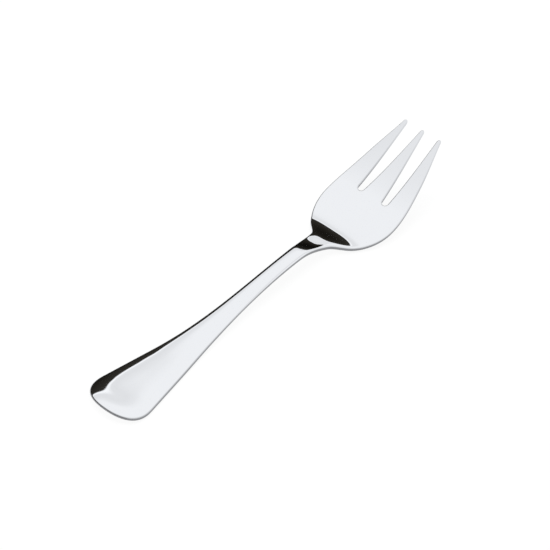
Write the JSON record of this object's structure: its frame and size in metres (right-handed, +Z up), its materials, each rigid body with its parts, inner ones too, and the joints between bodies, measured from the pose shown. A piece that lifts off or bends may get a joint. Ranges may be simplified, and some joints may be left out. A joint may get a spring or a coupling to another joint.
{
  "type": "pastry fork",
  "caption": "Pastry fork pressed from one strip of mirror-polished stainless steel, with a wide round-ended tapering handle, arched neck, shallow bowl and slim pointed tines.",
  "frame": {"origin": "on the table under the middle of the fork's length, width and height box", "axes": "+X along the fork from the handle's end to the tine tips, +Y to the left seen from above with the tines pointing ahead, +Z up out of the bowl"},
  "size_m": [0.15, 0.0294, 0.0179],
  "materials": {
    "polished_steel": "mirror-polished stainless steel"
  },
  "bodies": {
    "root": {"fork": "polished_steel"}
  },
  "joints": []
}
